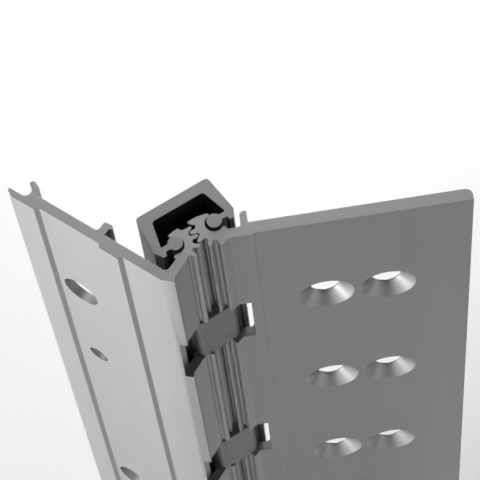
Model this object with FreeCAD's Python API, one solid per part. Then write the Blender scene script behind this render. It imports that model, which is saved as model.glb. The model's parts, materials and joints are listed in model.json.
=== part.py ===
"""Continuous geared hinge: two extruded leaves whose toothed knuckles mesh inside a C-shaped cap.

The frame leaf lies in the gap between door and jamb and is fixed with countersunk screws.
The door leaf is bent round the knuckle and lies on the face of the door.
The cap carries two round rods. Each rod sits in the pocket of one knuckle, so each leaf turns
about its own rod, and the teeth make both leaves turn by the same angle, opposite ways.
Thrust bearings slide on the rods and fill notches cut through both knuckles.

Row frame: +Z along the hinge, frame leaf along +X with its screw heads towards -Y,
origin on the lower end in the middle of the footprint. The hinge is drawn part open.
"""
import FreeCAD, Part
import os
from math import acos, cos, degrees, pi, radians, sin, sqrt, tan

Vector = FreeCAD.Vector
UP = Vector(0, 0, 1)

# Whole hinge
hinge_length = 330.2
opening_angle = 132.0
swing_at_rest = opening_angle / 2
edge_round = 0.15

# Gear segments, equal on both leaves
pitch_radius = 5.3
teeth_per_turn = 13
pressure_angle = 22.0
addendum = 0.8
dedendum = 1.0
long_addendum = 0.15
flank_relief = 0.06
mesh_phase = 6.7
frame_tooth_count = 5
door_tooth_count = 4

# Rods of the cap and pockets of the knuckles
rod_radius = 1.85
rod_play = 0.3
pocket_radius = rod_radius + rod_play

# Cap, with its back and cavity measured from the line of the pivots. It stands a little above the leaves
cap_rise = 0.9
cap_slack = (0.15, 0.05)
cap_back = 10.62
cap_wall_back = 2.9
cap_half_width_back = 9.85
cap_half_width_side = 10.8
cap_half_width_lip = 9.75
cap_side_foot = 0.32
cap_chamfer_end = -1.13
cap_lip_bottom = -1.78
cap_lip_inside = 8.5
cap_lip_taper = 0.2
cap_corner = 1.0
cap_side_round = 0.4
cap_edge = 0.2
cavity_half_width_back = 6.95
cavity_half_width_floor = 8.7
cavity_corner = 0.9
cavity_floor_round = 0.25
neck_half = 0.75
neck_root = 0.35

# Frame leaf, measured from its pivot, plate along +X
frame_leaf_reach = 60.45
frame_leaf_back = -1.13
frame_leaf_thickness = 3.2
frame_front_round = 0.2
frame_end_round = 1.8
frame_pad_proud = 0.35
frame_pad_end = 8.55
frame_pad_step = 0.35
frame_heel_end = 2.85
rib_start = 6.1
rib_width = 1.7
rib_height = 3.1
rib_slope = 0.7
rib_foot_fillet = 0.9
rib_back_fillet = 0.2
rib_round = 0.35
groove_depth = 0.9
lower_lip_angle = -37.0
lower_lip_width = 0.92
lower_lip_taper = 0.25
upper_lip_angle = 116.0
upper_lip_wall = 0.5
crown_flat_end = -1.7
crown_bow = 0.27

# Door leaf, measured from its pivot, plate along +X, door side towards +Y
door_leaf_reach = 41.95
door_plate_back = 6.56
door_plate_thickness = 2.55
door_pad_proud = 0.95
pad_slope = 0.9
inner_pad_start = 8.42
inner_pad_width = 6.93
outer_pad_width = 9.3
web_inside = -2.16
web_thickness = 2.5
web_corner = 1.05
web_taper = 0.2
web_foot = 1.66
nose_reach = 0.65
nose_foot = 6.56
nose_height = 7.76
bevel_end = -2.3
lug_angle = 130.6
lug_height = 1.08
lug_slope = 0.2
lug_round = 0.3
door_root_shallower = 0.24
door_root_turn = -2.6
door_root_hollow = 0.15
door_lip_angle = -27.5
door_lip_reach = 2.9
door_lip_crown = ((1.95, -76.7), (2.27, -61.7), (1.59, -47.1))

# Hook near the bend of the door leaf
hook_start = 15.5
hook_stem_width = 2.0
hook_height = 3.05
hook_lip = 0.85
hook_lip_thickness = 1.35
hook_lip_slope = 0.45
hook_top_slope = 0.75
hook_shoulder_drop = 0.25
hook_round = 0.5
hook_inner_round = 0.25
hook_fillet = 0.9

# Free edge of the door leaf: round seat, curved finger and thin tip
tip_relief = 1.8
tip_edge = 0.7
tip_slope = 2.2
tip_round = 0.3
tip_inner_round = 0.2
seat_from_edge = 3.6
seat_radius = 1.55
seat_mouth = 0.35
finger_width = 3.6
finger_height = 2.65
finger_shoulder = 1.9
finger_shoulder_drop = 0.3
finger_crest = 2.45
finger_tip_drop = 0.95
finger_back_bow = 0.52
finger_tip_bow = 0.41

# Notches and thrust bearings
notch_height = 19.0
notch_first = 45.4
notch_pitch = 77.0
notch_end_margin = 15.0
frame_notch_reach = 6.05
door_notch_reach = 8.61
bearing_end_gap = 0.1
bearing_front = -4.8
bearing_half_width = 6.0
bearing_corner = 1.7
bearing_rod_gap = 0.1
bearing_neck_gap = 0.2
bearing_cavity_gap = 0.3
bearing_back_corner = 0.6
bearing_waist_front = -1.6
bearing_overlap = 0.5

# Screw holes of the frame leaf, in pairs
screw_row_first = 38.1
screw_row_pitch = 50.8
screw_columns = (24.65, 40.05)
screw_hole_radius = 3.5
countersink_radius = 6.95
countersink_angle = 100.0

# Plain holes of the door leaf
bolt_hole_radius = 5.0
pilot_hole_radius = 2.8
door_hole_column = 26.25
bolt_hole_first = 38.1
pilot_hole_first = 76.2

# Cutters stand past the faces that they cut
cutter_over = 1.0


def at(x, y):
    """Point of a section."""
    return Vector(x, y, 0)


def polar(radius, angle):
    """Point of a section at a radius and an angle in degrees."""
    return at(radius * cos(radians(angle)), radius * sin(radians(angle)))


def corner(x, y, rounding=0.0):
    """Step of an outline: a straight run to a corner, rounded if a radius is given."""
    return (at(x, y), rounding, None)


def straight(end):
    """Step of an outline: a straight run to a point."""
    return (end, 0.0, None)


def arc(middle, end):
    """Step of an outline: an arc through a middle point to its end."""
    return (end, 0.0, middle)


def bowed(start, end, bow):
    """Step of an outline: a shallow arc that stands off its chord, to the right of the way."""
    along = (end - start).normalize()
    middle = (start + end) * 0.5 + at(along.y, -along.x) * bow
    return arc(middle, end)


def round_corner(before, tip, after, rounding):
    """Start, middle and end of the arc that rounds a corner."""
    back = (before - tip).normalize()
    ahead = (after - tip).normalize()
    half = back.getAngle(ahead) / 2
    reach = rounding / tan(half)
    inward = (back + ahead).normalize()
    middle = tip + inward * (rounding / sin(half) - rounding)
    return tip + back * reach, middle, tip + ahead * reach


def section(steps):
    """Flat face inside a closed outline of corners and arcs."""
    count = len(steps)
    edges = []
    arrivals = []
    departures = []
    for i in range(count):
        tip, rounding, _ = steps[i]
        if rounding > 0:
            before = steps[i - 1][0]
            after = steps[(i + 1) % count][0]
            start, middle, end = round_corner(before, tip, after, rounding)
            edges.append(Part.Arc(start, middle, end).toShape())
        else:
            start = end = tip
        arrivals.append(start)
        departures.append(end)
    for i in range(count):
        start = departures[i - 1]
        end = arrivals[i]
        middle = steps[i][2]
        if middle is None:
            edges.append(Part.LineSegment(start, end).toShape())
        else:
            edges.append(Part.Arc(start, middle, end).toShape())
    return Part.Face(Part.Wire(Part.__sortEdges__(edges)))


def extruded(face, low, high):
    """Solid of a section between two heights."""
    body = face.extrude(UP * (high - low))
    body.translate(UP * low)
    return body


def block(x_range, y_range, z_range):
    """Rectangular solid between pairs of limits."""
    size = (x_range[1] - x_range[0], y_range[1] - y_range[0], z_range[1] - z_range[0])
    return Part.makeBox(size[0], size[1], size[2], Vector(x_range[0], y_range[0], z_range[0]))


# Involute of the gear segments
tooth_pitch = 360.0 / teeth_per_turn
base_radius = pitch_radius * cos(radians(pressure_angle))


def involute(angle):
    """Involute function of an angle in radians."""
    return tan(angle) - angle


def tip_radius(shift):
    """Radius of the tips of teeth whose profile is shifted outwards."""
    return pitch_radius + addendum + shift


def root_radius(shift):
    """Radius of the roots of teeth whose profile is shifted outwards."""
    return pitch_radius - dedendum + shift


def half_tooth(radius, shift):
    """Half the angle of a tooth at a radius, in degrees."""
    thicker = (shift * tan(radians(pressure_angle)) - flank_relief) / pitch_radius
    at_pitch = pi / (2 * teeth_per_turn) + thicker
    spread = involute(radians(pressure_angle)) - involute(acos(min(1.0, base_radius / radius)))
    return degrees(at_pitch + spread)


def flank_point(radius, centre, side, shift):
    """Point of a tooth's flank at a radius, on its low (-1) or high (1) side."""
    return polar(radius, centre + side * half_tooth(radius, shift))


def tooth_steps(centre, drawn_to_next, shift):
    """Tip and falling flank of a tooth, then the root and the rising flank of the next one."""
    tip = tip_radius(shift)
    middle = (base_radius + tip) / 2
    steps = [straight(flank_point(tip, centre, 1, shift))]
    if drawn_to_next:
        following = centre + tooth_pitch
        root = polar(root_radius(shift), centre + tooth_pitch / 2)
        steps.append(arc(flank_point(middle, centre, 1, shift), flank_point(base_radius, centre, 1, shift)))
        steps.append(arc(root, flank_point(base_radius, following, -1, shift)))
        steps.append(arc(flank_point(middle, following, -1, shift), flank_point(tip, following, -1, shift)))
    return steps


def gear_steps(first, count, shift):
    """Outline of a run of teeth, from the first tip's near side to the last tip's far side."""
    steps = []
    for i in range(count):
        steps += tooth_steps(first + i * tooth_pitch, i < count - 1, shift)
    return steps


# Angles of the teeth in each leaf's own frame, so that they mesh in the drawn pose
frame_leaf_angle = swing_at_rest - 90
door_leaf_angle = 180 - swing_at_rest
frame_tooth_first = 180 - mesh_phase - frame_leaf_angle - tooth_pitch
door_tooth_first = mesh_phase - tooth_pitch / 2 - door_leaf_angle - 2 * tooth_pitch


def frame_leaf_section():
    """Section of the frame leaf: toothed knuckle, aligning rib and flat plate."""
    front = frame_leaf_back - frame_leaf_thickness
    pad_front = front - frame_pad_proud
    rib_end = rib_start + rib_width
    rib_top = frame_leaf_back + rib_height
    groove = frame_leaf_back - groove_depth
    lip = polar(pocket_radius, upper_lip_angle)
    lip_low = polar(pocket_radius, lower_lip_angle)
    lip_end = lip_low.x + lower_lip_width
    pocket_middle = polar(pocket_radius, (upper_lip_angle + lower_lip_angle) / 2 + 180)
    crown_start = at(crown_flat_end, pocket_radius + upper_lip_wall)
    tip = tip_radius(long_addendum)
    first_tip = flank_point(tip, frame_tooth_first, -1, long_addendum)
    last_tooth = frame_tooth_first + (frame_tooth_count - 1) * tooth_pitch
    heel = flank_point(tip, last_tooth, 1, long_addendum)
    heel_end = at(frame_heel_end, pad_front)
    steps = [corner(lip.x, crown_start.y), straight(crown_start)]
    steps += [bowed(crown_start, first_tip, crown_bow)]
    steps += gear_steps(frame_tooth_first, frame_tooth_count, long_addendum)
    steps += [straight(heel_end)]
    steps += [corner(frame_pad_end, pad_front), corner(frame_pad_end + frame_pad_step, front)]
    steps += [corner(frame_leaf_reach, front, frame_front_round)]
    steps += [corner(frame_leaf_reach, frame_leaf_back, frame_end_round)]
    steps += [corner(rib_end, frame_leaf_back, rib_back_fillet), corner(rib_end, rib_top, rib_round)]
    steps += [corner(rib_start + rib_slope, rib_top, edge_round)]
    steps += [corner(rib_start, rib_top - rib_slope, edge_round)]
    steps += [corner(rib_start, groove, rib_foot_fillet)]
    steps += [corner(lip_end + lower_lip_taper, groove), corner(lip_end, lip_low.y)]
    steps += [straight(lip_low), arc(pocket_middle, lip)]
    return section(steps)


def door_leaf_section():
    """Section of the door leaf: toothed knuckle, web, bent plate, hook, finger and pads."""
    front = door_plate_back + door_plate_thickness
    web_outside = web_inside - web_thickness
    lip = polar(pocket_radius, door_lip_angle)
    lug = polar(pocket_radius, lug_angle)
    lug_top = lug.y + lug_height
    pocket_middle = polar(pocket_radius, (door_lip_angle + lug_angle) / 2 + 180)
    shift = -long_addendum
    tip = tip_radius(shift)
    root = root_radius(shift)
    root_angle = door_tooth_first - tooth_pitch / 2 + door_root_turn
    root_start = polar(root + door_root_shallower, root_angle)
    flank_angle = door_tooth_first - half_tooth(base_radius, shift)
    hollow = polar(root + door_root_hollow, (root_angle + flank_angle) / 2)
    rising = flank_point((base_radius + tip) / 2, door_tooth_first, -1, shift)
    steps = [arc(hollow, polar(base_radius, flank_angle))]
    steps += [arc(rising, flank_point(tip, door_tooth_first, -1, shift))]
    steps += gear_steps(door_tooth_first, door_tooth_count, shift)
    for wall, angle in door_lip_crown:
        steps.append(straight(polar(pocket_radius + wall, angle)))
    steps += [corner(door_lip_reach, lip.y), straight(lip)]
    steps += [arc(pocket_middle, lug)]
    steps += [corner(lug.x, lug_top, lug_round), corner(web_inside, lug_top + lug_slope)]
    steps += [corner(web_inside, door_plate_back, web_corner)]
    steps += hook_steps()
    steps += free_edge_steps(front)
    steps += pad_steps(front)
    steps += [corner(bevel_end, front), corner(web_outside - nose_reach, nose_height)]
    steps += [corner(web_outside, nose_foot), corner(web_outside + web_taper, web_foot)]
    steps += [straight(root_start)]
    return section(steps)


def hook_steps():
    """Hook near the bend, with its lip turned towards the knuckle."""
    top = door_plate_back - hook_height
    lip_foot = top + hook_lip_thickness
    lip_end = hook_start - hook_lip
    hook_end = hook_start + hook_stem_width
    steps = [corner(hook_start, door_plate_back)]
    steps += [corner(hook_start, lip_foot, hook_inner_round)]
    steps += [corner(lip_end, lip_foot - hook_lip_slope, edge_round)]
    steps += [corner(lip_end + hook_top_slope, top, hook_round)]
    steps += [corner(hook_end, top + hook_shoulder_drop, hook_round)]
    steps += [corner(hook_end, door_plate_back, hook_fillet)]
    return steps


def free_edge_steps(front):
    """Curved finger, the round seat beside it and the thin tip of the door leaf."""
    seat = at(door_leaf_reach - seat_from_edge, door_plate_back + tip_relief - seat_radius)
    seat_low = at(seat.x - seat_mouth, seat.y - sqrt(seat_radius ** 2 - seat_mouth ** 2))
    seat_top = at(seat.x, seat.y + seat_radius)
    tip_end = seat.x + seat_mouth - edge_round
    foot = at(tip_end - finger_width, door_plate_back)
    top = foot.y - finger_height
    shoulder = at(foot.x + finger_shoulder, top + finger_shoulder_drop)
    crest = at(foot.x + finger_crest, top)
    tip = at(foot.x + finger_width, top + finger_tip_drop)
    steps = [straight(foot), bowed(foot, shoulder, finger_back_bow)]
    steps += [straight(crest), bowed(crest, tip, finger_tip_bow)]
    steps += [straight(seat_low), arc(at(seat.x - seat_radius, seat.y), seat_top)]
    steps += [corner(door_leaf_reach, seat_top.y, tip_inner_round)]
    steps += [corner(door_leaf_reach, seat_top.y + tip_edge, tip_round)]
    steps += [corner(door_leaf_reach - tip_slope, front + door_pad_proud)]
    return steps


def pad_steps(front):
    """Raised pads that bear on the door, from the free edge to the bend."""
    pad_front = front + door_pad_proud
    outer_pad_start = door_leaf_reach - outer_pad_width
    inner_pad_end = inner_pad_start + inner_pad_width
    return [
        corner(outer_pad_start + pad_slope, pad_front),
        corner(outer_pad_start, front),
        corner(inner_pad_end, front),
        corner(inner_pad_end - pad_slope, pad_front),
        corner(inner_pad_start + pad_slope, pad_front),
        corner(inner_pad_start, front),
    ]


def rod_centre(side):
    """Centre of the cap's rod on the left (-1) or right (1)."""
    return at(side * pitch_radius, 0)


def neck_meets_rod(side, height):
    """Point of a rod's outer side at a height of the neck."""
    centre = rod_centre(side)
    return at(centre.x + side * sqrt(rod_radius ** 2 - (height - centre.y) ** 2), height)


def cap_half(side):
    """Steps of one lip of the cap, from the lip's outside round the rod to the cavity's floor."""
    low = neck_meets_rod(side, -neck_half)
    high = neck_meets_rod(side, neck_half)
    inner = rod_centre(side) + at(-side * rod_radius, 0)
    return [
        corner(side * cap_half_width_side, cap_side_foot, cap_side_round),
        corner(side * cap_half_width_lip, cap_chamfer_end),
        corner(side * (cap_half_width_lip - cap_lip_taper), cap_lip_bottom, cap_edge),
        corner(side * cap_lip_inside, cap_lip_bottom, cap_edge),
        corner(side * (cap_lip_inside - cap_lip_taper), -neck_half, neck_root),
        straight(low),
        arc(inner, high),
        corner(side * cavity_half_width_floor, neck_half, cavity_floor_round),
        corner(side * cavity_half_width_back, cap_back - cap_wall_back, cavity_corner),
    ]


def reversed_path(steps):
    """The same steps drawn backwards, so that each arc leads to the other of its ends."""
    result = []
    for i in reversed(range(len(steps))):
        tip, rounding, _ = steps[i]
        middle = steps[i + 1][2] if i + 1 < len(steps) else None
        result.append((tip, rounding, middle))
    return result


def cap_section():
    """Section of the cap: channel with two lips, each ending in a round rod."""
    steps = [corner(cap_half_width_back, cap_back, cap_corner)]
    steps += cap_half(1)
    steps += reversed_path(cap_half(-1))
    steps += [corner(-cap_half_width_back, cap_back, cap_corner)]
    return section(steps)


def bearing_section():
    """Section of a thrust bearing: a block with two round pockets that slide on the rods."""
    cavity_top = cap_back - cap_wall_back
    slope = (cavity_half_width_floor - cavity_half_width_back) / (cavity_top - neck_half)
    side_gap = bearing_cavity_gap * sqrt(1 + slope ** 2)
    top = cavity_top - bearing_cavity_gap
    floor = neck_half + bearing_neck_gap
    low_width = cavity_half_width_floor - slope * bearing_neck_gap - side_gap
    high_width = cavity_half_width_back - side_gap
    body = section([
        corner(low_width, floor),
        corner(high_width, top, bearing_back_corner),
        corner(-high_width, top, bearing_back_corner),
        corner(-low_width, floor),
    ])
    nose = section([
        corner(-bearing_half_width, bearing_waist_front),
        corner(-bearing_half_width, bearing_front, bearing_corner),
        corner(bearing_half_width, bearing_front, bearing_corner),
        corner(bearing_half_width, bearing_waist_front),
        corner(pitch_radius, bearing_waist_front),
        corner(pitch_radius, floor + bearing_overlap),
        corner(-pitch_radius, floor + bearing_overlap),
        corner(-pitch_radius, bearing_waist_front),
    ])
    merged = body.fuse(nose).removeSplitter()
    for side in (-1, 1):
        disc = Part.Face(Part.Wire(Part.makeCircle(rod_radius + bearing_rod_gap, rod_centre(side))))
        merged = merged.cut(disc)
    return merged.Faces[0]


def heights(first, pitch, margin):
    """Heights counted down from the top end, as far as the lower end allows."""
    room = hinge_length - margin - first
    count = max(0, int(room / pitch + 1e-6) + 1)
    return [hinge_length - first - i * pitch for i in range(count)]


notch_heights = heights(notch_first, notch_pitch, notch_height / 2 + notch_end_margin)
screw_heights = heights(screw_row_first, screw_row_pitch, screw_row_first)


def hole_along_y(x, z, radius, y_range):
    """Round cutter along +Y."""
    base = Vector(x, y_range[0], z)
    return Part.makeCylinder(radius, y_range[1] - y_range[0], base, Vector(0, 1, 0))


def countersunk_hole(x, z):
    """Cutter for a countersunk screw whose head lies in the front face."""
    front = frame_leaf_back - frame_leaf_thickness
    spread = tan(radians(countersink_angle / 2))
    depth = (countersink_radius - screw_hole_radius) / spread
    wide = countersink_radius + cutter_over * spread
    start = Vector(x, front - cutter_over, z)
    cone = Part.makeCone(wide, screw_hole_radius, depth + cutter_over, start, Vector(0, 1, 0))
    return cone.fuse(hole_along_y(x, z, screw_hole_radius, (front, frame_leaf_back + cutter_over)))


def make_frame_leaf():
    """Frame leaf with its notches and screw holes, in its own frame."""
    leaf = extruded(frame_leaf_section(), 0, hinge_length)
    cutters = []
    far = 3 * pitch_radius
    for middle in notch_heights:
        z_range = (middle - notch_height / 2, middle + notch_height / 2)
        cutters.append(block((-far, frame_notch_reach), (-far, far), z_range))
    for z in screw_heights:
        for x in screw_columns:
            cutters.append(countersunk_hole(x, z))
    return leaf.cut(Part.makeCompound(cutters))


def make_door_leaf():
    """Door leaf with its notches and plain holes, in its own frame."""
    leaf = extruded(door_leaf_section(), 0, hinge_length)
    cutters = []
    far = 3 * pitch_radius
    for middle in notch_heights:
        z_range = (middle - notch_height / 2, middle + notch_height / 2)
        knuckle = (-far, door_plate_back - cutter_over)
        cutters.append(block((-far, door_lip_reach + cutter_over), knuckle, z_range))
        cutters.append(block((-far, web_inside), (-far, door_notch_reach), z_range))
    through = (door_plate_back - cutter_over, door_plate_back + door_plate_thickness + cutter_over)
    for down in (bolt_hole_first, hinge_length / 2, hinge_length - bolt_hole_first):
        cutters.append(hole_along_y(door_hole_column, hinge_length - down, bolt_hole_radius, through))
    for down in (pilot_hole_first, hinge_length - pilot_hole_first):
        cutters.append(hole_along_y(door_hole_column, hinge_length - down, pilot_hole_radius, through))
    return leaf.cut(Part.makeCompound(cutters))


def make_bearing(middle):
    """Thrust bearing in the notch at a height, in the cap's frame."""
    half = notch_height / 2 - bearing_end_gap
    return extruded(bearing_section(), middle - half, middle + half)


def placed(shape, pivot_x, angle):
    """A leaf turned by its angle about its pivot in the cap's frame."""
    turned = shape.copy()
    turned.rotate(Vector(0, 0, 0), UP, angle)
    turned.translate(at(pivot_x, 0))
    return turned


def hinge_parts():
    """All pieces by name, in the cap's frame."""
    parts = {
        "frame_leaf": placed(make_frame_leaf(), pitch_radius, frame_leaf_angle),
        "door_leaf": placed(make_door_leaf(), -pitch_radius, door_leaf_angle),
        "cap": extruded(cap_section(), cap_rise, cap_rise + hinge_length),
    }
    for number, middle in enumerate(notch_heights, start=1):
        parts["thrust_bearing_%d" % number] = make_bearing(middle)
    for name in parts:
        if not name.endswith("leaf"):
            parts[name].translate(at(cap_slack[0], cap_slack[1]))
    return parts


def to_row_frame(parts):
    """Turn the frame leaf along +X and put the origin in the middle of the footprint."""
    for shape in parts.values():
        shape.rotate(Vector(0, 0, 0), UP, -frame_leaf_angle)
    box = Part.makeCompound(list(parts.values())).BoundBox
    shift = Vector(-box.Center.x, -box.Center.y, 0)
    for shape in parts.values():
        shape.translate(shift)
    return shift


def main():
    """Build and write every piece."""
    parts = hinge_parts()
    shift = to_row_frame(parts)
    os.makedirs("parts", exist_ok=True)
    for name, shape in parts.items():
        shape.exportStep("parts/%s.step" % name)
        print(name, "valid" if shape.isValid() else "NOT VALID", len(shape.Solids), round(shape.Volume, 1))
    for name, side in (("frame pivot", 1), ("door pivot", -1)):
        turned = polar(side * pitch_radius, -frame_leaf_angle)
        print(name, round(turned.x + shift.x, 4), round(turned.y + shift.y, 4))


main()
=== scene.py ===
"""Dresses the continuous geared hinge: anodised aluminium, moulded bearings and a studio."""

import json
import math

import bmesh
import bpy
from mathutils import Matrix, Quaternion, Vector


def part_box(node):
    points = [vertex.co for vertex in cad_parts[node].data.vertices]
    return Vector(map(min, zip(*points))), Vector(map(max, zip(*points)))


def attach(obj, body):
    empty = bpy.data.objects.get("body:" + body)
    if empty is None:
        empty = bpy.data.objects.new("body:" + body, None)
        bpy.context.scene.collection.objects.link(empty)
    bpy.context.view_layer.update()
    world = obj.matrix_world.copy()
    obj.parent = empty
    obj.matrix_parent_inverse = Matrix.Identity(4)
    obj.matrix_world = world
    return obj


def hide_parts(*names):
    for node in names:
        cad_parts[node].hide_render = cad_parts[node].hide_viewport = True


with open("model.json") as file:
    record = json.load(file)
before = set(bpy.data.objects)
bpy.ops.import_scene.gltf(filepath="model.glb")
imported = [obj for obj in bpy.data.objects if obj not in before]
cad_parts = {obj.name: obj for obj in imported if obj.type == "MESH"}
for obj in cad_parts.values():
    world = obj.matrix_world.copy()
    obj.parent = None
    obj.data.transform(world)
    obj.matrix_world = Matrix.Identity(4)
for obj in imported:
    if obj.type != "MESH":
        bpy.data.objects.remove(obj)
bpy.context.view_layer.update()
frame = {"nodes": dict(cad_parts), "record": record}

bl_info = {
    "name": "Continuous geared hinge",
    "version": (1, 0, 0),
    "blender": (4, 5, 0),
    "location": "3D View > Sidebar > Hinge",
    "description": "Finishes the leaves, cap and thrust bearings of a continuous geared hinge",
    "category": "Object",
}

MM = 0.001

# The photograph's width in pixels, the camera's sensor, and how near it sees
IMAGE_SIDE = 480
SENSOR_MM = 36.0
CLIP_START = 0.01

# Softboxes: place, point that it faces, width and height, all in metres, and power in watts
LAMPS = {
    "left_strip_softbox": ((-0.530, -0.282, 0.17), (0, 0, 0.22), (0.45, 0.28), 1.6),
    "left_floor_softbox": ((-0.40, -0.15, 0.30), (-0.30, -0.15, 0), (0.3, 0.3), 0.8),
    "front_softbox": ((-0.40, -0.79, 0.407), (0, 0, 0.22), (0.5, 0.5), 0.3),
    "high_back_softbox": ((0, 0.516, 0.957), (0, 0, 0.22), (0.5, 0.5), 1.2),
    "back_floor_softbox": ((0.06, 0.37, 0.36), (0.06, 0.2, 0), (0.32, 0.25), 1.65),
}

# Floor: half its width, how far it lies below the hinge, and its dull paint
FLOOR_HALF = 3.0
FLOOR_DROP = 0.5 * MM
FLOOR_ROUGHNESS = 0.8
FLOOR_SPECULAR = 0.2
# Distances from the hinge between which the floor takes on its glow, and the glow's strength
GLOW_START, GLOW_FULL, GLOW_STRENGTH = 0.5, 1.2, 0.55
# Heights of a view direction between which the pale horizon fades, and the horizon's strength
HORIZON_START, HORIZON_END, HORIZON_STRENGTH = 0.1, 0.3, 0.6

# CAD meshes: points this close are merged, faces this flat joined, and edges this sharp broken
WELD_DISTANCE = 0.001 * MM
FLAT_ANGLE = math.radians(0.5)
SHARP_ANGLE = math.radians(35)

# Most of a noise texture lies between these two levels
NOISE_LOW, NOISE_HIGH = 0.3, 0.7
# Depth of all fine relief
RELIEF_DEPTH = 0.02 * MM

# Aluminium: lengths of its lines, share of the etch in the relief, spread of the roughness
DIE_LINE_LENGTH = 90 * MM
STREAK_LENGTH = 400 * MM
SAW_LINE_LENGTH = 14 * MM
FROSTING = 0.4
SIDE_ROUGHNESS_SPREAD = 0.03
CUT_ROUGHNESS_SPREAD = 0.04
# How upright a face's normal is where extruded turns to sawn, and how square to the leaf where
# a countersink turns to the flat face
SAWN_START, SAWN_FULL = 0.90, 0.97
SQUARE_START, SQUARE_FULL = 0.94, 0.98
# The countersinks' finish ends just outside their edges
COUNTERSINK_INSIDE, COUNTERSINK_OUTSIDE = 7.1 * MM, 7.3 * MM

# Acetal: the mould's grain, which is drawn coarser than the real one so that it shows, the
# size and spread of the cloudy tone, roughness, relief and IOR
MOULD_GRAIN = 0.35 * MM
CLOUD_SIZE = 6 * MM
CLOUD_SPREAD = 0.06
ACETAL_ROUGHNESS, ACETAL_ROUGHNESS_SPREAD = 0.51, 0.05
MOULD_RELIEF = 0.25
ACETAL_IOR = 1.48


def linear(hex_colour):
    """Linear RGBA of an sRGB hex colour."""
    levels = [int(hex_colour[i:i + 2], 16) / 255 for i in (1, 3, 5)]
    return [v / 12.92 if v <= 0.04045 else ((v + 0.055) / 1.055) ** 2.4 for v in levels] + [1.0]


def add(tree, kind, settings=None, inputs=None):
    """Add a node, set its properties, and give its inputs values or links.

    The inputs are a list in the sockets' order, or a dictionary by their names or numbers.
    """
    node = tree.nodes.new(kind)
    for name, value in (settings or {}).items():
        setattr(node, name, value)
    if isinstance(inputs, list):
        inputs = dict(enumerate(inputs))
    for key, value in (inputs or {}).items():
        if isinstance(value, bpy.types.NodeSocket):
            tree.links.new(value, node.inputs[key])
        else:
            node.inputs[key].default_value = value
    return node


def new_material(name):
    """Empty material with its tree, shader and output."""
    material = bpy.data.materials.new(name)
    material.use_nodes = True
    tree = material.node_tree
    tree.nodes.clear()
    shader = add(tree, "ShaderNodeBsdfPrincipled")
    add(tree, "ShaderNodeOutputMaterial", inputs={"Surface": shader.outputs["BSDF"]})
    return material, tree, shader


def stretched_noise(tree, coordinates, across, along, turn=0.0, detail=2.0, level=False):
    """Noise drawn out into lines: along +Z, or level along a direction turned about +Z."""
    scale = (1 / along if level else 1 / across, 1 / across, 1 / along)
    turned = add(tree, "ShaderNodeMapping", {"vector_type": "POINT"},
                 {"Vector": coordinates, "Rotation": (0, 0, turn)})
    drawn = add(tree, "ShaderNodeMapping", {"vector_type": "POINT"},
                {"Vector": turned.outputs["Vector"], "Scale": scale})
    noise = add(tree, "ShaderNodeTexNoise", {"noise_dimensions": "3D"},
                {"Vector": drawn.outputs["Vector"], "Scale": 1.0, "Detail": detail,
                 "Roughness": 0.6})
    return noise.outputs["Fac"]


def varied(tree, *numbers):
    """Numbers that noise varies. Each is given by a noise, a middle and a spread about it."""
    results = []
    for noise, middle, spread in numbers:
        node = add(tree, "ShaderNodeMapRange", {"clamp": True},
                   [noise, NOISE_LOW, NOISE_HIGH, middle - spread, middle + spread])
        results.append(node.outputs["Result"])
    return results


def overlaid(tree, mask, under, over):
    """The values of one surface, with those of another over it where the mask is 1."""
    results = []
    for first, second in zip(under, over):
        node = add(tree, "ShaderNodeMix", {"data_type": "FLOAT"}, {0: mask, 2: first, 3: second})
        results.append(node.outputs[0])
    return results


def finish_surface(tree, shader, colour, tone, rough, relief, strength):
    """Give a shader its toned colour, its roughness and its fine relief."""
    toned = add(tree, "ShaderNodeMix", {"data_type": "RGBA", "blend_type": "MULTIPLY"},
                {0: 1.0, 6: colour, 7: tone})
    bump = add(tree, "ShaderNodeBump",
               inputs={"Height": relief, "Distance": RELIEF_DEPTH, "Strength": strength})
    tree.links.new(toned.outputs[2], shader.inputs["Base Color"])
    tree.links.new(rough, shader.inputs["Roughness"])
    tree.links.new(bump.outputs["Normal"], shader.inputs["Normal"])


def end_mask(tree, normal):
    """1 on the sawn ends and notch floors, 0 on the extruded faces."""
    parts = add(tree, "ShaderNodeSeparateXYZ", inputs=[normal])
    upright = add(tree, "ShaderNodeMath", {"operation": "ABSOLUTE"}, [parts.outputs["Z"]])
    mask = add(tree, "ShaderNodeMapRange", {"clamp": True},
               [upright.outputs["Value"], SAWN_START, SAWN_FULL, 0.0, 1.0])
    return mask.outputs["Result"]


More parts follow.
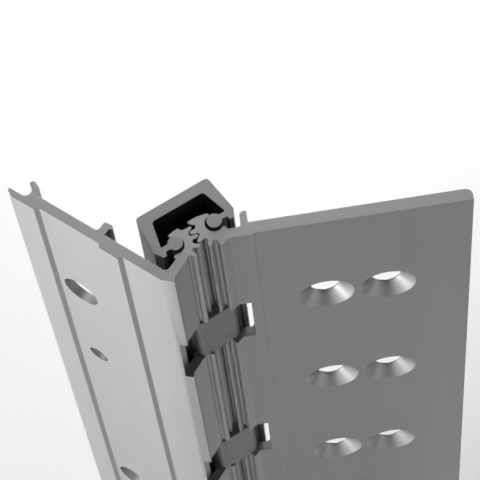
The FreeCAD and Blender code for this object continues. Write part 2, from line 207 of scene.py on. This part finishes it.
def countersink_radius(tree, position):
    """Distance from the axis of the nearest countersunk hole. They stand in pairs on even rows."""
    rows = {mount["name"]: mount for mount in frame["record"]["mounts"]
            if mount["kind"] == "bolt_pattern"}
    outer = rows["screws_outer_rows"]
    half_width = outer["dims"]["spacing_x_mm"] * MM / 2
    pitch = rows["screws_inner_rows"]["dims"]["spacing_y_mm"] * MM
    lowest = outer["pos_m"][2] - outer["dims"]["spacing_y_mm"] * MM / 2
    parts = add(tree, "ShaderNodeSeparateXYZ", inputs=[position])
    across = add(tree, "ShaderNodeMath", {"operation": "SUBTRACT"},
                 [parts.outputs["X"], outer["pos_m"][0]])
    either = add(tree, "ShaderNodeMath", {"operation": "ABSOLUTE"}, [across.outputs["Value"]])
    aside = add(tree, "ShaderNodeMath", {"operation": "SUBTRACT"},
                [either.outputs["Value"], half_width])
    above = add(tree, "ShaderNodeMath", {"operation": "SUBTRACT"}, [parts.outputs["Z"], lowest])
    along = add(tree, "ShaderNodeMath", {"operation": "WRAP"},
                [above.outputs["Value"], pitch / 2, -pitch / 2])
    flat = add(tree, "ShaderNodeCombineXYZ",
               inputs={"X": aside.outputs["Value"], "Z": along.outputs["Value"]})
    length = add(tree, "ShaderNodeVectorMath", {"operation": "LENGTH"}, [flat.outputs["Vector"]])
    return length.outputs["Value"]


def turned_finish(tree, settings, place):
    """Mask and rings of the countersinks, which a cutter leaves smoother than the rest."""
    radius = countersink_radius(tree, place.outputs["Object"])
    scaled = add(tree, "ShaderNodeMath", {"operation": "MULTIPLY"},
                 [radius, 1 / settings.ring_line])
    rings = add(tree, "ShaderNodeTexNoise", {"noise_dimensions": "1D"},
                {"W": scaled.outputs["Value"], "Scale": 1.0})
    parts = add(tree, "ShaderNodeSeparateXYZ", inputs=[place.outputs["Normal"]])
    facing = add(tree, "ShaderNodeMath", {"operation": "ABSOLUTE"}, [parts.outputs["Y"]])
    near = add(tree, "ShaderNodeMapRange", {"clamp": True},
               [radius, COUNTERSINK_INSIDE, COUNTERSINK_OUTSIDE, 1.0, 0.0])
    sloped = add(tree, "ShaderNodeMapRange", {"clamp": True},
                 [facing.outputs["Value"], SQUARE_START, SQUARE_FULL, 1.0, 0.0])
    mask = add(tree, "ShaderNodeMath", {"operation": "MULTIPLY"},
               [near.outputs["Result"], sloped.outputs["Result"]])
    return mask.outputs["Value"], rings.outputs["Fac"]


def anodised_aluminium(name, settings, saw_turn, side_shade=1.0, end_shade=1.0, countersunk=False):
    """Clear anodised aluminium, extruded, sawn to length and drilled.

    The die leaves fine lines along the length, which break the sheen into soft upright streaks.
    The saw leaves closer, straighter lines across the ends. The etch before anodising makes
    the metal satin, so nothing in it shows as a sharp reflection. A countersink is turned by
    its cutter, so its sheen is tighter and it has fine rings.

    The metal is the same on every piece. side_shade and end_shade were set to meet the
    photograph's tones, and stand in for light that the lamps don't reproduce.
    """
    material, tree, shader = new_material(name)
    place = add(tree, "ShaderNodeTexCoord")
    position = place.outputs["Object"]
    die = stretched_noise(tree, position, settings.die_line, DIE_LINE_LENGTH)
    streak = stretched_noise(tree, position, settings.streak_width, STREAK_LENGTH, detail=1.0)
    saw = stretched_noise(tree, position, settings.saw_line, SAW_LINE_LENGTH,
                          turn=math.radians(saw_turn), level=True)
    etch = add(tree, "ShaderNodeTexNoise", {"noise_dimensions": "3D"},
               {"Vector": position, "Scale": 1 / settings.etch_grain, "Detail": 1.0})
    # Each surface: tone, roughness, lines of the relief, and share of the etch in it
    end_tone = settings.end_tone * end_shade
    sides = varied(tree, (streak, side_shade, side_shade * settings.streak_depth),
                   (die, settings.roughness, SIDE_ROUGHNESS_SPREAD)) + [die, FROSTING]
    ends = varied(tree, (saw, end_tone, end_tone * settings.saw_depth),
                  (saw, settings.end_roughness, CUT_ROUGHNESS_SPREAD)) + [saw, FROSTING]
    surface = overlaid(tree, end_mask(tree, place.outputs["Normal"]), sides, ends)
    if countersunk:
        turned, rings = turned_finish(tree, settings, place)
        depth = settings.ring_depth
        grooves = add(tree, "ShaderNodeMapRange", {"clamp": True},
                      [rings, 0.0, 1.0, 0.5 - depth, 0.5 + depth])
        cone = [settings.turned_tone,
                *varied(tree, (rings, settings.turned_roughness, CUT_ROUGHNESS_SPREAD)),
                grooves.outputs["Result"], 0.0]
        surface = overlaid(tree, turned, surface, cone)
    tone, rough, lines, frosting = surface
    relief = add(tree, "ShaderNodeMath", {"operation": "MULTIPLY_ADD"},
                 [etch.outputs["Fac"], frosting, lines])
    finish_surface(tree, shader, settings.aluminium_colour, tone, rough,
                   relief.outputs["Value"], settings.line_strength)
    shader.inputs["Metallic"].default_value = 1.0
    return material


def moulded_acetal(name, settings):
    """Grey acetal, injection moulded: a low even sheen over a very fine grain from the mould."""
    material, tree, shader = new_material(name)
    position = add(tree, "ShaderNodeTexCoord").outputs["Object"]
    grain = add(tree, "ShaderNodeTexNoise", {"noise_dimensions": "3D"},
                {"Vector": position, "Scale": 1 / MOULD_GRAIN, "Detail": 2.0}).outputs["Fac"]
    cloud = add(tree, "ShaderNodeTexNoise", {"noise_dimensions": "3D"},
                {"Vector": position, "Scale": 1 / CLOUD_SIZE}).outputs["Fac"]
    tone, rough = varied(tree, (cloud, 1.0, CLOUD_SPREAD),
                         (grain, ACETAL_ROUGHNESS, ACETAL_ROUGHNESS_SPREAD))
    finish_surface(tree, shader, settings.acetal_colour, tone, rough, grain, MOULD_RELIEF)
    shader.inputs["IOR"].default_value = ACETAL_IOR
    return material


def softened_copy(node, name, edge):
    """A copy of a CAD node's mesh with its sharp edges broken, as deburring leaves them."""
    mesh = frame["nodes"][node].data.copy()
    mesh.materials.clear()
    form = bmesh.new()
    form.from_mesh(mesh)
    bmesh.ops.remove_doubles(form, verts=form.verts, dist=WELD_DISTANCE)
    bmesh.ops.dissolve_limit(form, angle_limit=FLAT_ANGLE, verts=form.verts, edges=form.edges)
    form.to_mesh(mesh)
    form.free()
    mesh.name = name
    piece = bpy.data.objects.new(name, mesh)
    bpy.context.scene.collection.objects.link(piece)
    bevel = piece.modifiers.new("broken_edges", "BEVEL")
    bevel.width = edge
    bevel.segments = 2
    bevel.limit_method = "ANGLE"
    bevel.angle_limit = SHARP_ANGLE
    bevel.use_clamp_overlap = False
    bevel.miter_outer = "MITER_SHARP"
    settle(piece)
    piece.data.shade_smooth()
    flat = piece.modifiers.new("flat_faces", "WEIGHTED_NORMAL")
    flat.mode = "FACE_AREA"
    flat.weight = 100
    settle(piece)
    return piece


def settle(piece):
    """Replace a piece's mesh by what its modifiers make of it."""
    seen = piece.evaluated_get(bpy.context.evaluated_depsgraph_get())
    mesh = bpy.data.meshes.new_from_object(seen)
    piece.modifiers.clear()
    piece.data = mesh


def put_material(piece, material):
    """Give a piece one material."""
    piece.data.materials.clear()
    piece.data.materials.append(material)


class HingeFinish(bpy.types.PropertyGroup):
    """Colours and surface sizes of the hinge."""

    aluminium_colour: bpy.props.FloatVectorProperty(
        name="Aluminium", description="Colour of the anodised aluminium",
        default=linear("#B9B9B9"), size=4, min=0.0, max=1.0, subtype="COLOR")
    acetal_colour: bpy.props.FloatVectorProperty(
        name="Acetal", description="Colour of the moulded bearings",
        default=linear("#B0B0B0"), size=4, min=0.0, max=1.0, subtype="COLOR")
    die_line: bpy.props.FloatProperty(
        name="Die line", description="Spacing of the extrusion lines. The real ones are finer "
        "and are drawn as coarse as they need to show",
        default=0.35 * MM, precision=5, unit="LENGTH")
    streak_width: bpy.props.FloatProperty(
        name="Streak width", description="Width of the pale and dark streaks",
        default=7.0 * MM, precision=5, unit="LENGTH")
    streak_depth: bpy.props.FloatProperty(
        name="Streak depth", description="How much the streaks change the tone",
        default=0.02, min=0.0, max=1.0, subtype="FACTOR")
    saw_line: bpy.props.FloatProperty(
        name="Saw line", description="Spacing of the saw marks on the ends",
        default=0.4 * MM, precision=5, unit="LENGTH")
    saw_depth: bpy.props.FloatProperty(
        name="Saw depth", description="How much the saw marks change the tone of the ends",
        default=0.05, min=0.0, max=1.0, subtype="FACTOR")
    etch_grain: bpy.props.FloatProperty(
        name="Etch grain", description="Size of the satin etch's grain. The real one is finer "
        "and is drawn as coarse as it needs to show",
        default=0.25 * MM, precision=5, unit="LENGTH")
    end_tone: bpy.props.FloatProperty(
        name="End tone", description="Tone of the sawn ends against the extruded faces",
        default=1.0)
    roughness: bpy.props.FloatProperty(
        name="Roughness", description="Roughness of the extruded faces",
        default=0.48, min=0.0, max=1.0, subtype="FACTOR")
    end_roughness: bpy.props.FloatProperty(
        name="End roughness", description="Roughness of the sawn ends",
        default=0.5, min=0.0, max=1.0, subtype="FACTOR")
    ring_line: bpy.props.FloatProperty(
        name="Ring line", description="Spacing of the cutter's rings in the countersinks. The "
        "real ones are finer and are drawn as coarse as they need to show",
        default=0.3 * MM, precision=5, unit="LENGTH")
    ring_depth: bpy.props.FloatProperty(
        name="Ring depth", description="Depth of the rings against the die lines",
        default=0.015)
    turned_tone: bpy.props.FloatProperty(
        name="Turned tone", description="Tone of the countersinks against the extruded faces",
        default=1.0)
    turned_roughness: bpy.props.FloatProperty(
        name="Turned roughness", description="Roughness of the countersinks",
        default=0.36, min=0.0, max=1.0, subtype="FACTOR")
    line_strength: bpy.props.FloatProperty(
        name="Line strength", description="Strength of the fine relief",
        default=0.25, min=0.0, max=1.0, subtype="FACTOR")
    broken_edge: bpy.props.FloatProperty(
        name="Broken edge", description="Width of the deburred edges of the aluminium",
        default=0.08 * MM, precision=5, unit="LENGTH")
    moulded_edge: bpy.props.FloatProperty(
        name="Moulded edge", description="Width of the rounded edges of the bearings",
        default=0.3 * MM, precision=5, unit="LENGTH")


class HingeStudio(bpy.types.PropertyGroup):
    """Camera, floor and surroundings."""

    target: bpy.props.FloatVectorProperty(
        name="Target", description="Point that the camera looks at, on the hinge's upper end",
        default=(-0.001432, -0.007813, 0.3302), subtype="XYZ", unit="LENGTH")
    azimuth: bpy.props.FloatProperty(
        name="Azimuth", description="Where the camera stands round the hinge",
        default=math.radians(-0.784), subtype="ANGLE")
    elevation: bpy.props.FloatProperty(
        name="Elevation", description="How far the camera looks down",
        default=math.radians(62.855), subtype="ANGLE")
    roll: bpy.props.FloatProperty(
        name="Roll", description="Turn of the camera about its own axis",
        default=math.radians(8.02), subtype="ANGLE")
    distance: bpy.props.FloatProperty(
        name="Distance", description="From the camera to its target",
        default=0.5437, unit="LENGTH")
    focal_pixels: bpy.props.FloatProperty(
        name="Focal length", description="Focal length in pixels of a 480 pixel wide picture",
        default=2350.0, subtype="PIXEL")
    floor_colour: bpy.props.FloatVectorProperty(
        name="Floor", description="Colour of the floor",
        default=linear("#FAFAFA"), size=4, min=0.0, max=1.0, subtype="COLOR")
    sky_level: bpy.props.FloatProperty(
        name="Surroundings", description="Level of the even light from all round",
        default=0.05)


class HINGE_OT_frame_leaf(bpy.types.Operator):
    """Finish the flat leaf that is screwed to the jamb"""

    bl_idname = "hinge.frame_leaf"
    bl_label = "Frame leaf"

    def execute(self, context):
        settings = context.scene.hinge_finish
        leaf = softened_copy("frame_leaf", "frame_leaf_finished", settings.broken_edge)
        # side_shade=0.95 is painted shade: it darkens this leaf's extruded faces, which are the
        # same metal as the other pieces.
        put_material(leaf, anodised_aluminium("anodised aluminium, frame leaf", settings,
                                              saw_turn=-8.0, side_shade=0.95, countersunk=True))
        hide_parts("frame_leaf")
        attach(leaf, "frame_leaf")
        return {"FINISHED"}


class HINGE_OT_door_leaf(bpy.types.Operator):
    """Finish the bent leaf that is fixed to the face of the door"""

    bl_idname = "hinge.door_leaf"
    bl_label = "Door leaf"

    def execute(self, context):
        settings = context.scene.hinge_finish
        leaf = softened_copy("door_leaf", "door_leaf_finished", settings.broken_edge)
        put_material(leaf, anodised_aluminium("anodised aluminium, door leaf", settings,
                                              saw_turn=50.0))
        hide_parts("door_leaf")
        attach(leaf, "door_leaf")
        return {"FINISHED"}


class HINGE_OT_cap(bpy.types.Operator):
    """Finish the channel whose rods hold the knuckles in mesh"""

    bl_idname = "hinge.cap"
    bl_label = "Cap"

    def execute(self, context):
        settings = context.scene.hinge_finish
        cap = softened_copy("cap", "cap_finished", settings.broken_edge)
        # side_shade=0.75 and end_shade=0.80 are painted shade: they darken the cap's extruded
        # faces and sawn ends, which are the same metal as the leaves.
        put_material(cap, anodised_aluminium("anodised aluminium, cap", settings,
                                             saw_turn=30.0, side_shade=0.75, end_shade=0.80))
        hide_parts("cap")
        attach(cap, "cap")
        return {"FINISHED"}


def bearing_row_tree(material):
    """Geometry nodes that repeat the lowest bearing up the hinge."""
    tree = bpy.data.node_groups.new("row_of_bearings", "GeometryNodeTree")
    face = tree.interface
    face.new_socket("Bearing", in_out="INPUT", socket_type="NodeSocketGeometry")
    face.new_socket("Count", in_out="INPUT", socket_type="NodeSocketInt")
    face.new_socket("Pitch", in_out="INPUT", socket_type="NodeSocketFloat")
    face.new_socket("Bearings", in_out="OUTPUT", socket_type="NodeSocketGeometry")
    entry = add(tree, "NodeGroupInput")
    step = add(tree, "ShaderNodeCombineXYZ", inputs={"Z": entry.outputs["Pitch"]})
    line = add(tree, "GeometryNodeMeshLine", {"mode": "OFFSET"},
               {"Count": entry.outputs["Count"], "Offset": step.outputs["Vector"]})
    row = add(tree, "GeometryNodeInstanceOnPoints",
              inputs={"Points": line.outputs["Mesh"], "Instance": entry.outputs["Bearing"]})
    real = add(tree, "GeometryNodeRealizeInstances",
               inputs={"Geometry": row.outputs["Instances"]})
    finished = add(tree, "GeometryNodeSetMaterial",
                   inputs={"Geometry": real.outputs["Geometry"], "Material": material})
    add(tree, "NodeGroupOutput", inputs={"Bearings": finished.outputs["Geometry"]})
    return tree


def set_input(modifier, name, value):
    """Set a modifier's input by the identifier of its socket."""
    for item in modifier.node_group.interface.items_tree:
        if item.name == name and item.in_out == "INPUT":
            modifier[item.identifier] = value
            return
    raise ValueError("the row of bearings has no input named " + name)


class HINGE_OT_bearings(bpy.types.Operator):
    """Make the moulded bearings in the notches of both knuckles"""

    bl_idname = "hinge.bearings"
    bl_label = "Thrust bearings"

    def execute(self, context):
        settings = context.scene.hinge_finish
        bearings = [name for name in frame["nodes"] if name.startswith("thrust_bearing")]
        by_height = sorted(bearings, key=lambda node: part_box(node)[0].z)
        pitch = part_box(by_height[1])[0].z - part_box(by_height[0])[0].z
        row = softened_copy(by_height[0], "thrust_bearings", settings.moulded_edge)
        modifier = row.modifiers.new("row", "NODES")
        modifier.node_group = bearing_row_tree(moulded_acetal("moulded acetal", settings))
        set_input(modifier, "Count", len(by_height))
        set_input(modifier, "Pitch", pitch)
        settle(row)
        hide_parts(*by_height)
        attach(row, "cap")
        return {"FINISHED"}


def area_lamp(name, place, aim, size, power):
    """Softbox that stands at a place and faces a point."""
    data = bpy.data.lights.new(name, "AREA")
    data.shape = "RECTANGLE"
    data.size, data.size_y = size
    data.energy = power
    lamp = bpy.data.objects.new(name, data)
    lamp.location = place
    lamp.rotation_mode = "QUATERNION"
    lamp.rotation_quaternion = (Vector(aim) - Vector(place)).to_track_quat("-Z", "Y")
    lamp.visible_camera = False
    bpy.context.scene.collection.objects.link(lamp)


def seen_directly(tree):
    """1 for rays from the camera, from a mirror or through glass, 0 for those that carry light."""
    path = add(tree, "ShaderNodeLightPath").outputs
    seen = path["Is Camera Ray"]
    for kind in ("Is Glossy Ray", "Is Transmission Ray"):
        either = add(tree, "ShaderNodeMath", {"operation": "MAXIMUM"}, [seen, path[kind]])
        seen = either.outputs["Value"]
    return seen


def make_floor(colour):
    """Wide pale floor under the hinge, which stays pale past the reach of the lamps."""
    mesh = bpy.data.meshes.new("floor")
    far = FLOOR_HALF
    corners = [(-far, -far, 0), (far, -far, 0), (far, far, 0), (-far, far, 0)]
    mesh.from_pydata(corners, [], [(0, 1, 2, 3)])
    floor = bpy.data.objects.new("floor", mesh)
    floor.location.z = -FLOOR_DROP
    bpy.context.scene.collection.objects.link(floor)
    material, tree, shader = new_material("painted floor")
    shader.inputs["Base Color"].default_value = colour
    shader.inputs["Roughness"].default_value = FLOOR_ROUGHNESS
    shader.inputs["Specular IOR Level"].default_value = FLOOR_SPECULAR
    position = add(tree, "ShaderNodeTexCoord").outputs["Object"]
    distance = add(tree, "ShaderNodeVectorMath", {"operation": "LENGTH"}, [position])
    rise = add(tree, "ShaderNodeMapRange", {"clamp": True},
               [distance.outputs["Value"], GLOW_START, GLOW_FULL, 0.0, GLOW_STRENGTH])
    glow = add(tree, "ShaderNodeMath", {"operation": "MULTIPLY"},
               [rise.outputs["Result"], seen_directly(tree)])
    shader.inputs["Emission Color"].default_value = (1, 1, 1, 1)
    tree.links.new(glow.outputs["Value"], shader.inputs["Emission Strength"])
    put_material(floor, material)


def make_world(level):
    """Even surroundings, pale near the horizon where they are seen."""
    world = bpy.data.worlds.new("studio")
    world.use_nodes = True
    tree = world.node_tree
    background = tree.nodes["Background"]
    background.inputs["Color"].default_value = (1, 1, 1, 1)
    direction = add(tree, "ShaderNodeTexCoord").outputs["Generated"]
    height = add(tree, "ShaderNodeSeparateXYZ", inputs=[direction]).outputs["Z"]
    pale = add(tree, "ShaderNodeMapRange", {"clamp": True},
               [height, HORIZON_START, HORIZON_END, HORIZON_STRENGTH, level])
    strength, = overlaid(tree, seen_directly(tree), [level], [pale.outputs["Result"]])
    tree.links.new(strength, background.inputs["Strength"])
    bpy.context.scene.world = world


def make_camera(studio):
    """Camera at the photograph's view."""
    data = bpy.data.cameras.new("camera")
    data.sensor_width = SENSOR_MM
    data.lens = studio.focal_pixels / IMAGE_SIDE * SENSOR_MM
    data.clip_start = CLIP_START
    camera = bpy.data.objects.new("camera", data)
    turn, rise = studio.azimuth, studio.elevation
    back = Vector((math.sin(turn) * math.cos(rise), -math.cos(turn) * math.cos(rise),
                   math.sin(rise)))
    camera.location = Vector(studio.target) + back * studio.distance
    camera.rotation_mode = "QUATERNION"
    unrolled = (-back).to_track_quat("-Z", "Y")
    camera.rotation_quaternion = Quaternion(back, -studio.roll) @ unrolled
    bpy.context.scene.collection.objects.link(camera)
    bpy.context.scene.camera = camera


class HINGE_OT_stage(bpy.types.Operator):
    """Set up the floor, the lamps, the surroundings and the camera"""

    bl_idname = "hinge.stage"
    bl_label = "Stage"

    def execute(self, context):
        studio = context.scene.hinge_studio
        make_floor(studio.floor_colour)
        make_world(studio.sky_level)
        for name, (place, aim, size, power) in LAMPS.items():
            area_lamp(name, place, aim, size, power)
        make_camera(studio)
        context.scene.view_settings.view_transform = "Standard"
        return {"FINISHED"}


class HINGE_PT_panel(bpy.types.Panel):
    """Buttons and sizes of the hinge"""

    bl_idname = "HINGE_PT_panel"
    bl_label = "Continuous geared hinge"
    bl_space_type = "VIEW_3D"
    bl_region_type = "UI"
    bl_category = "Hinge"

    def draw(self, context):
        for piece in OPERATORS:
            self.layout.operator(piece.bl_idname)
        for group in (context.scene.hinge_finish, context.scene.hinge_studio):
            for name in group.__annotations__:
                self.layout.prop(group, name)


OPERATORS = (HINGE_OT_frame_leaf, HINGE_OT_door_leaf, HINGE_OT_cap, HINGE_OT_bearings,
             HINGE_OT_stage)
CLASSES = (HingeFinish, HingeStudio) + OPERATORS + (HINGE_PT_panel,)


def register():
    """Register the classes and their settings on the scene."""
    for item in CLASSES:
        bpy.utils.register_class(item)
    bpy.types.Scene.hinge_finish = bpy.props.PointerProperty(type=HingeFinish)
    bpy.types.Scene.hinge_studio = bpy.props.PointerProperty(type=HingeStudio)


def unregister():
    """Take the classes and settings away again."""
    del bpy.types.Scene.hinge_studio
    del bpy.types.Scene.hinge_finish
    for item in reversed(CLASSES):
        bpy.utils.unregister_class(item)


def main():
    """Make every piece and the stage."""
    register()
    bpy.ops.hinge.frame_leaf()
    bpy.ops.hinge.door_leaf()
    bpy.ops.hinge.cap()
    bpy.ops.hinge.bearings()
    bpy.ops.hinge.stage()


if __name__ == "__main__":
    main()
